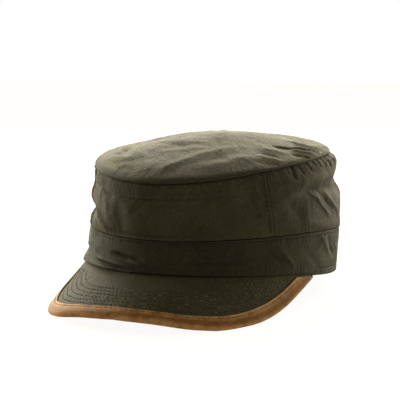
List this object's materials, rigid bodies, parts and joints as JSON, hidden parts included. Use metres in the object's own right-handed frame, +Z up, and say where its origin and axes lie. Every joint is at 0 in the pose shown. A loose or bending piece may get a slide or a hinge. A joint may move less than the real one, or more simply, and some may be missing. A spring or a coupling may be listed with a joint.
{
  "type": "patrol cap",
  "caption": "Soft flat-topped patrol cap of dark waxed cotton with a turned-up band and a leather-edged peak.",
  "frame": {"origin": "on the surface that the cap stands on, under the middle of its overall box", "axes": "+Z up, the peak points to -Y, the wearer's left is +X"},
  "size_m": [0.1684, 0.2732, 0.1099],
  "materials": {
    "crown_cloth": "waxed cotton, matt with a soft sheen",
    "peak_cloth": "waxed cotton over a stiffener, rows of stitches",
    "edge_leather": "worn brown leather, satin"
  },
  "bodies": {
    "root": {"crown_top": "crown_cloth", "crown_front": "crown_cloth", "crown_back": "crown_cloth", "band": "crown_cloth", "rear_hem": "crown_cloth", "peak": "peak_cloth", "peak_binding": "edge_leather"}
  },
  "joints": []
}
